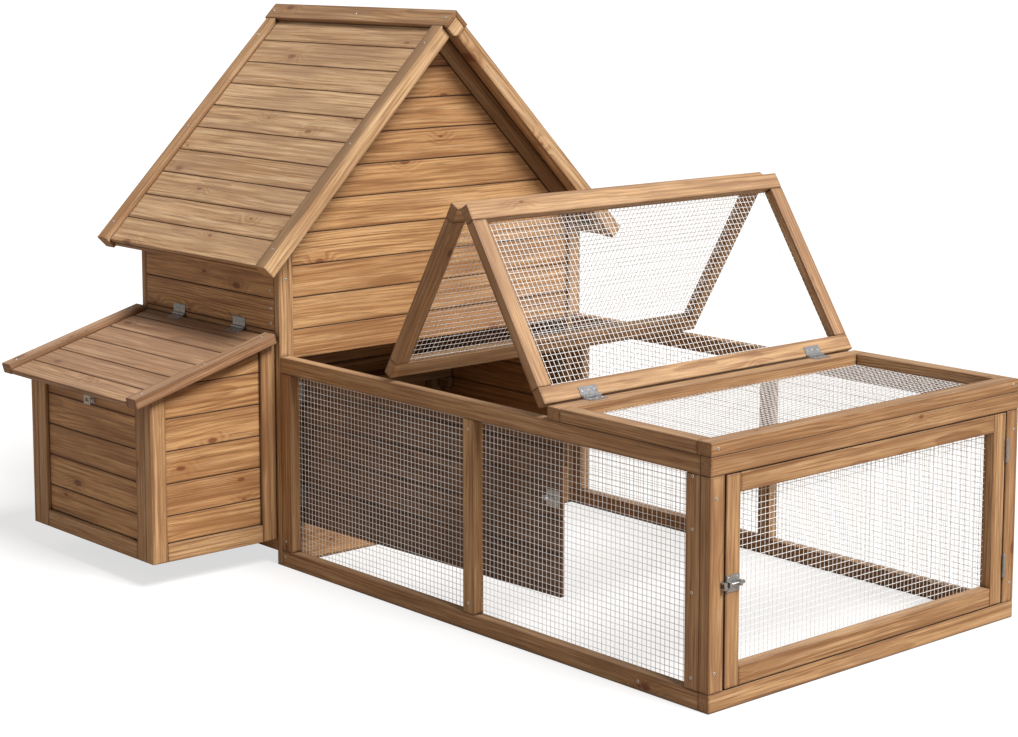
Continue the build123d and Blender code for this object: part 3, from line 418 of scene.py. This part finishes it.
def zinc_plate(name, colour, spangle, grime, rough, metallic=0.85):
    """Zinc-plated steel with spangle, rub marks and some grime."""
    made, t, shader = new_material(name)
    zinc = group_node(t, "Zinc Plate")
    t.put(zinc.inputs["Place"], t.node("ShaderNodeTexCoord").outputs["Object"])
    t.put(zinc.inputs["Spangle Size"], spangle)
    base = t.mix(t.maths("MULTIPLY", zinc.outputs["Spangle"], 0.5), shade(colour, 1.0), shade(colour, 0.80))
    base = t.mix(t.step(zinc.outputs["Grime"], 0.52, 0.74, 0.0, grime), base, (0.16, 0.13, 0.11, 1.0))
    t.put(shader.inputs["Base Color"], base)
    shader.inputs["Metallic"].default_value = metallic
    t.put(shader.inputs["Roughness"], t.maths("MULTIPLY_ADD", zinc.outputs["Rub"], 0.30, rough))
    t.put(shader.inputs["Normal"], t.bump(zinc.outputs["Rub"], 0.25, 0.0002))
    return made


def screw_zinc(name, colour):
    """Zinc screw head with a cross recess."""
    made, t, shader = new_material(name)
    x, y, z = t.parts(t.vector("ABSOLUTE", t.attribute("rim").outputs["Vector"]))[0:3]
    arm_a = t.maths("MULTIPLY", t.step(x, 0.24, 0.15), t.step(y, 0.70, 0.58))
    arm_b = t.maths("MULTIPLY", t.step(y, 0.24, 0.15), t.step(x, 0.70, 0.58))
    cross = t.maths("MAXIMUM", arm_a, arm_b)
    zinc = group_node(t, "Zinc Plate")
    t.put(zinc.inputs["Place"], t.node("ShaderNodeTexCoord").outputs["Object"])
    t.put(zinc.inputs["Spangle Size"], 600.0)
    base = t.mix(t.maths("MULTIPLY", zinc.outputs["Spangle"], 0.5), shade(colour, 1.05), shade(colour, 0.85))
    # the cross recess is painted near black: painted shade in the hollow, which the bump alone shapes
    t.put(shader.inputs["Base Color"], t.mix(cross, base, (0.05, 0.045, 0.04, 1.0)))
    shader.inputs["Metallic"].default_value = 0.8
    t.put(shader.inputs["Roughness"], t.maths("MULTIPLY_ADD", zinc.outputs["Rub"], 0.25, 0.28))
    t.put(shader.inputs["Normal"], t.bump(t.maths("MULTIPLY", cross, -1.0), 0.8, 0.0006))
    return made


MATERIALS = {}
OWN_FINISH = {
    "verge_battens": "verge_wood", "ridge_cap_boards": "frame_wood", "nest_lid_boards": "lid_wood", "nest_lid_battens": "lid_wood",
    "house_door_boards": "door_wood", "house_door_ledges": "door_wood"}


def finish_for(name):
    """Return a named finish, made on first use from the scene's settings."""
    if name in MATERIALS:
        return MATERIALS[name]
    scene = bpy.context.scene
    timber, fittings = scene.coop_timber, scene.coop_fittings
    # the first colour is sun-bleached grey for upper faces, the second is painted shade for the upper faces of the
    # front verge battens
    bleached, painted_top_shade = (0.50, 0.42, 0.34), (0.270, 0.160, 0.085)
    makers = {
        "frame_wood": lambda: stained_timber("Stained Frame", timber.frame_stain, 0.22, 0.20, bleached, 0.16),
        "board_wood": lambda: stained_timber("Stained Board", timber.board_stain, 0.26, 0.80, bleached, 0.10),
        "roof_wood": lambda: stained_timber("Stained Roof", timber.roof_stain, 0.26, 0.80, bleached, 0.22),
        "lid_wood": lambda: stained_timber("Stained Nest Lid", timber.lid_stain, 0.26, 0.80, bleached, 0.14),
        # the house door's darker stain is painted shade for its place in the shaded run
        "door_wood": lambda: stained_timber("House Door Painted Shade", timber.door_stain_and_shade, 0.26, 0.80, bleached, 0.0),
        "verge_wood": lambda: stained_timber("Verge Batten", timber.roof_stain, 0.15, 0.20, painted_top_shade, 1.70),
        "inner_wood": lambda: stained_timber("Inner Timber", timber.inner_stain, 0.30, 0.55, bleached, 0.05),
        "galvanised_steel": lambda: zinc_plate("Zinc Fitting", fittings.zinc, 260.0, 0.55, 0.24),
        "wire_mesh": lambda: zinc_plate("Zinc Wire", fittings.wire, 420.0, 0.20, 0.34, 0.10),
        "screw": lambda: screw_zinc("Zinc Screw", fittings.screw),
    }
    MATERIALS[name] = makers[name]()
    return MATERIALS[name]


# Mesh helpers

def islands_of(bm):
    """Return the vertices of each separate solid in a mesh."""
    seen, found = set(), []
    for start in bm.verts:
        if start in seen:
            continue
        seen.add(start)
        group, queue = [], [start]
        while queue:
            vert = queue.pop()
            group.append(vert)
            for edge in vert.link_edges:
                other = edge.other_vert(vert)
                if other not in seen:
                    seen.add(other)
                    queue.append(other)
        found.append(group)
    return found


class Run:
    """The lie of one solid: its length, width and depth axes, its middle and its half sizes."""

    def __init__(self, verts):
        faces = {face for vert in verts for face in vert.link_faces}
        edges = {edge for vert in verts for edge in vert.link_edges}
        self.faces = faces
        deep = max(faces, key=lambda face: face.calc_area()).normal.copy()
        longest = max(edges, key=lambda edge: edge.calc_length())
        along = (longest.verts[1].co - longest.verts[0].co)
        along = (along - deep * along.dot(deep)).normalized()
        self.axes = (along, deep.cross(along).normalized(), deep)
        spans = [[axis.dot(vert.co) for vert in verts] for axis in self.axes]
        middles = [(min(span) + max(span)) / 2 for span in spans]
        self.half = Vector([max(1e-5, (max(span) - min(span)) / 2) for span in spans])
        self.middle = sum((axis * part for axis, part in zip(self.axes, middles)), Vector())

    def local(self, point):
        """Return a point in this solid's own length, width and depth."""
        return Vector([axis.dot(point - self.middle) for axis in self.axes])


def merged_copy(node):
    """Return a bmesh of a CAD node with its doubles merged and its flat faces joined."""
    bm = bmesh.new()
    bm.from_mesh(frame["nodes"][node].data)
    for layer in list(bm.loops.layers.uv):
        bm.loops.layers.uv.remove(layer)
    bmesh.ops.remove_doubles(bm, verts=bm.verts, dist=0.02 * MM)
    bmesh.ops.dissolve_limit(bm, angle_limit=math.radians(1.5), verts=bm.verts, edges=bm.edges)
    return bm


def round_edges(bm, width, segments, sharp=40.0):
    """Bevel the edges of a bmesh that turn by more than the sharp angle."""
    hard = [edge for edge in bm.edges if edge.is_manifold and edge.calc_face_angle() > math.radians(sharp)]
    bmesh.ops.bevel(bm, geom=hard, offset=width, offset_type="OFFSET", segments=segments, profile=0.5,
                    affect="EDGES", material=-1, clamp_overlap=True)


def mark_solids(bm, rng):
    """Write each solid's own coordinates, half sizes and random tone on its points and faces."""
    grain = bm.verts.layers.float_vector.new("grain")
    rim = bm.verts.layers.float_vector.new("rim")
    half = bm.verts.layers.float_vector.new("half")
    tone = bm.verts.layers.float_vector.new("tone")
    end_grain = bm.faces.layers.float.new("end_grain")
    sky = bm.faces.layers.float.new("sky")
    bm.normal_update()
    for verts in islands_of(bm):
        run = Run(verts)
        pick = Vector((rng.random(), rng.random(), rng.random()))
        for vert in verts:
            place = run.local(vert.co)
            vert[grain] = place
            vert[rim] = Vector([part / size for part, size in zip(place, run.half)])
            vert[half] = run.half
            vert[tone] = pick
        for face in run.faces:
            face[end_grain] = 1.0 if abs(face.normal.dot(run.axes[0])) > 0.8 else 0.0
            face[sky] = max(0.0, face.normal.z)


def finished(bm, name, finish, smooth=False):
    """Turn a bmesh into a finished piece at the origin."""
    mesh = bpy.data.meshes.new(name)
    bm.to_mesh(mesh)
    bm.free()
    if smooth:
        mesh.shade_smooth()
        mesh.set_sharp_from_angle(angle=math.radians(35))
    mesh.materials.append(finish)
    piece = bpy.data.objects.new(name, mesh)
    bpy.context.scene.collection.objects.link(piece)
    return piece


def fit_out(piece, node):
    """Let a piece stand for a CAD node: same body, and the node itself hidden."""
    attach(piece, BODY_OF[node])
    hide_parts(node)


def dress_timber(nodes, width, salt):
    """Build dressed timber for each node: edges eased, each board with its own figure."""
    settings = bpy.context.scene.coop_timber
    for index, node in enumerate(nodes):
        rng = random.Random(settings.seed * 1000 + salt * 50 + index)
        bm = merged_copy(node)
        round_edges(bm, width, 2)
        mark_solids(bm, rng)
        # the rear verge battens are left without painted shade on top; only the front ones keep it
        if node == "verge_battens":
            sky = bm.faces.layers.float["sky"]
            for face in bm.faces:
                if face.calc_center_median().x < settings.rear_verge_before:
                    face[sky] = 0.0
        finish = finish_for(OWN_FINISH.get(node, SLOT_OF[node]))
        fit_out(finished(bm, "Timber_" + node, finish), node)


# Operators

class COOP_OT_house(bpy.types.Operator):
    """Dress the house: gables, walls, floor and perch"""
    bl_idname = "coop.house"
    bl_label = "House"

    def execute(self, context):
        timber = context.scene.coop_timber
        boards = ["front_gable_boards", "rear_gable_boards", "nest_side_wall_boards", "back_side_wall_boards"]
        dress_timber(boards, timber.groove, 1)
        sticks = ["gable_stiles", "gable_rafters", "front_sill_board", "wall_framing", "floor_boards",
                  "floor_bearers", "perch"]
        dress_timber(sticks, timber.arris, 2)
        return {"FINISHED"}


class COOP_OT_roof(bpy.types.Operator):
    """Dress the roof: boards, battens and ridge cap"""
    bl_idname = "coop.roof"
    bl_label = "Roof"

    def execute(self, context):
        timber = context.scene.coop_timber
        dress_timber(["roof_boards_nest_side", "roof_boards_back_side"], timber.groove, 3)
        dress_timber(["verge_battens", "roof_battens", "ridge_cap_boards", "ridge_end_blocks"], timber.arris, 4)
        return {"FINISHED"}


class COOP_OT_nest_box(bpy.types.Operator):
    """Dress the nest box and its lid"""
    bl_idname = "coop.nest_box"
    bl_label = "Nest Box"

    def execute(self, context):
        timber = context.scene.coop_timber
        dress_timber(["nest_side_boards", "nest_front_boards", "nest_lid_boards"], timber.groove, 5)
        dress_timber(["nest_side_frames", "nest_front_frame", "nest_floor", "nest_divider", "nest_lid_battens"],
                     timber.arris, 6)
        return {"FINISHED"}


class COOP_OT_run_frames(bpy.types.Operator):
    """Dress the run's panels, end door and folding lids"""
    bl_idname = "coop.run_frames"
    bl_label = "Run Frames"

    def execute(self, context):
        nodes = ["run_front_frame", "run_back_frame", "run_end_frame", "run_top_frame", "end_door_frame",
                 "near_lid_frame", "far_lid_frame"]
        dress_timber(nodes, context.scene.coop_timber.arris, 7)
        return {"FINISHED"}


class COOP_OT_house_door(bpy.types.Operator):
    """Dress the house door and its ledges"""
    bl_idname = "coop.house_door"
    bl_label = "House Door"

    def execute(self, context):
        timber = context.scene.coop_timber
        dress_timber(["house_door_boards"], timber.groove, 8)
        dress_timber(["house_door_ledges"], timber.arris, 9)
        return {"FINISHED"}


class COOP_OT_wire_mesh(bpy.types.Operator):
    """Weave the welded wire mesh into each panel"""
    bl_idname = "coop.wire_mesh"
    bl_label = "Wire Mesh"

    def execute(self, context):
        settings = context.scene.coop_wire
        radius = settings.diameter / 2
        rng = random.Random(31)
        for node in ("run_mesh_panels", "end_door_mesh", "near_lid_mesh", "far_lid_mesh"):
            plates = merged_copy(node)
            plates.normal_update()
            bm = bmesh.new()
            for verts in islands_of(plates):
                run = Run(verts)
                for lie, spread in ((0, 1), (1, 0)):
                    count = int(2 * run.half[spread] / settings.pitch)
                    first = -(count - 1) / 2 * settings.pitch
                    layer = radius * (0.85 if lie == 0 else -0.85)
                    lean = run.axes[spread].cross(run.axes[2])
                    turn = Matrix((run.axes[spread], run.axes[2], lean)).transposed().to_4x4()
                    for k in range(count):
                        stray = rng.uniform(-settings.wander, settings.wander)
                        middle = run.middle + run.axes[spread] * (first + k * settings.pitch + stray)
                        middle += run.axes[2] * layer
                        bmesh.ops.create_cone(
                            bm, cap_ends=True, cap_tris=False, segments=6, radius1=radius, radius2=radius,
                            depth=2 * run.half[lie], matrix=Matrix.Translation(middle) @ turn)
            plates.free()
            bmesh.ops.recalc_face_normals(bm, faces=bm.faces)
            fit_out(finished(bm, "Wire_" + node, finish_for("wire_mesh"), smooth=True), node)
        return {"FINISHED"}


class COOP_OT_fittings(bpy.types.Operator):
    """Finish the hinges, bolts, keepers, hasp and staple"""
    bl_idname = "coop.fittings"
    bl_label = "Fittings"

    def execute(self, context):
        width = context.scene.coop_fittings.edge
        rng = random.Random(5)
        for node, slot in SLOT_OF.items():
            if slot != "galvanised_steel" or node.endswith("screws"):
                continue
            bm = merged_copy(node)
            round_edges(bm, width, 1)
            mark_solids(bm, rng)
            fit_out(finished(bm, "Zinc_" + node, finish_for(slot), smooth=True), node)
        return {"FINISHED"}


class COOP_OT_screws(bpy.types.Operator):
    """Turn the screw heads, each with a rounded rim and a cross recess"""
    bl_idname = "coop.screws"
    bl_label = "Screws"

    def execute(self, context):
        width = context.scene.coop_fittings.head_edge
        rng = random.Random(6)
        for node in [name for name in SLOT_OF if name.endswith("screws")]:
            bm = merged_copy(node)
            round_edges(bm, width, 2)
            mark_solids(bm, rng)
            fit_out(finished(bm, "Screws_" + node, finish_for("screw"), smooth=True), node)
        return {"FINISHED"}


class COOP_OT_stage(bpy.types.Operator):
    """Lay the floor, hang the lights and set the camera"""
    bl_idname = "coop.stage"
    bl_label = "Stage"

    def execute(self, context):
        scene, stage = context.scene, context.scene.coop_stage
        bm = bmesh.new()
        bmesh.ops.create_grid(bm, x_segments=2, y_segments=2, size=stage.floor_size / 2)
        bmesh.ops.translate(bm, verts=bm.verts, vec=(0, 0, CAD_BOX[0].z - 0.4 * MM))
        made, t, shader = new_material("Pale Floor")
        place = t.node("ShaderNodeTexCoord").outputs["Object"]
        mottle = t.step(t.noise(place, 1.3, 3.0), 0.3, 0.7, 0.97, 1.0)
        seen = t.node("ShaderNodeLightPath").outputs["Is Camera Ray"]
        bounce = t.mix(seen, (0.39, 0.33, 0.28, 1.0), shade(stage.floor_colour, 0.33))
        t.put(shader.inputs["Base Color"], t.mix(1.0, bounce, t.join(mottle, mottle, mottle), "MULTIPLY"))
        t.put(shader.inputs["Roughness"], t.step(t.noise(place, 8.0, 2.0), 0.3, 0.7, 0.75, 0.9))
        shader.inputs["Specular IOR Level"].default_value = 0.05
        shader.inputs["Emission Color"].default_value = (1.0, 1.0, 1.0, 1.0)
        t.put(shader.inputs["Emission Strength"], t.maths("MULTIPLY", seen, stage.floor_glow))
        floor = finished(bm, "Floor", made)
        world = bpy.data.worlds.new("Soft Light")
        scene.world = world
        world.use_nodes = True
        w = Tree(world.node_tree)
        sky = world.node_tree.nodes["Background"]
        seen = w.node("ShaderNodeLightPath").outputs["Is Camera Ray"]
        w.put(sky.inputs["Color"], w.mix(seen, (1.0, 0.93, 0.85, 1.0), (1.0, 1.0, 1.0, 1.0)))
        w.put(sky.inputs["Strength"], w.maths("MULTIPLY_ADD", seen, 1.1 - stage.sky_strength, stage.sky_strength))
        key = bpy.data.lights.new("Key", "SUN")
        key.energy = stage.key_strength
        key.angle = math.radians(24)
        key.color = (1.0, 0.985, 0.96)
        lamp = bpy.data.objects.new("Key", key)
        scene.collection.objects.link(lamp)
        lamp.rotation_euler = Vector(stage.key_from).to_track_quat("Z", "Y").to_euler()
        data = bpy.data.cameras.new("Camera")
        data.sensor_width = 36.0
        data.lens = stage.camera_lens
        data.shift_y = stage.camera_rise
        data.dof.use_dof = False
        data.clip_start, data.clip_end = 0.05, 200.0
        camera = bpy.data.objects.new("Camera", data)
        scene.collection.objects.link(camera)
        camera.location = stage.camera_place
        camera.rotation_euler = (math.pi / 2 - stage.camera_dip, 0.0, stage.camera_turn)
        scene.camera = camera
        scene.view_settings.view_transform = "Standard"
        return {"FINISHED"}


class COOP_PT_panel(bpy.types.Panel):
    """Lists the coop's operators and settings"""
    bl_idname = "COOP_PT_panel"
    bl_label = "Chicken Coop"
    bl_space_type = "VIEW_3D"
    bl_region_type = "UI"
    bl_category = "Coop"

    def draw(self, context):
        for operator in OPERATORS:
            self.layout.operator(operator.bl_idname)
        for name in SETTINGS:
            group = getattr(context.scene, name)
            box = self.layout.box()
            for prop in group.bl_rna.properties.keys():
                if prop not in {"rna_type", "name"}:
                    box.prop(group, prop)


OPERATORS = (
    COOP_OT_house, COOP_OT_roof, COOP_OT_nest_box, COOP_OT_run_frames, COOP_OT_house_door,
    COOP_OT_wire_mesh, COOP_OT_fittings, COOP_OT_screws, COOP_OT_stage)
SETTINGS = {
    "coop_timber": TimberSettings,
    "coop_wire": WireSettings,
    "coop_fittings": FittingSettings,
    "coop_stage": StageSettings,
}


def register():
    """Register the settings, operators and panel."""
    for name, group in SETTINGS.items():
        bpy.utils.register_class(group)
        setattr(bpy.types.Scene, name, PointerProperty(type=group))
    for operator in OPERATORS:
        bpy.utils.register_class(operator)
    bpy.utils.register_class(COOP_PT_panel)


def unregister():
    """Take the settings, operators and panel away again."""
    bpy.utils.unregister_class(COOP_PT_panel)
    for operator in reversed(OPERATORS):
        bpy.utils.unregister_class(operator)
    for name, group in SETTINGS.items():
        delattr(bpy.types.Scene, name)
        bpy.utils.unregister_class(group)


def main():
    """Register the add-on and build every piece."""
    register()
    for operator in OPERATORS:
        family, name = operator.bl_idname.split(".")
        getattr(getattr(bpy.ops, family), name)()


if __name__ == "__main__":
    main()
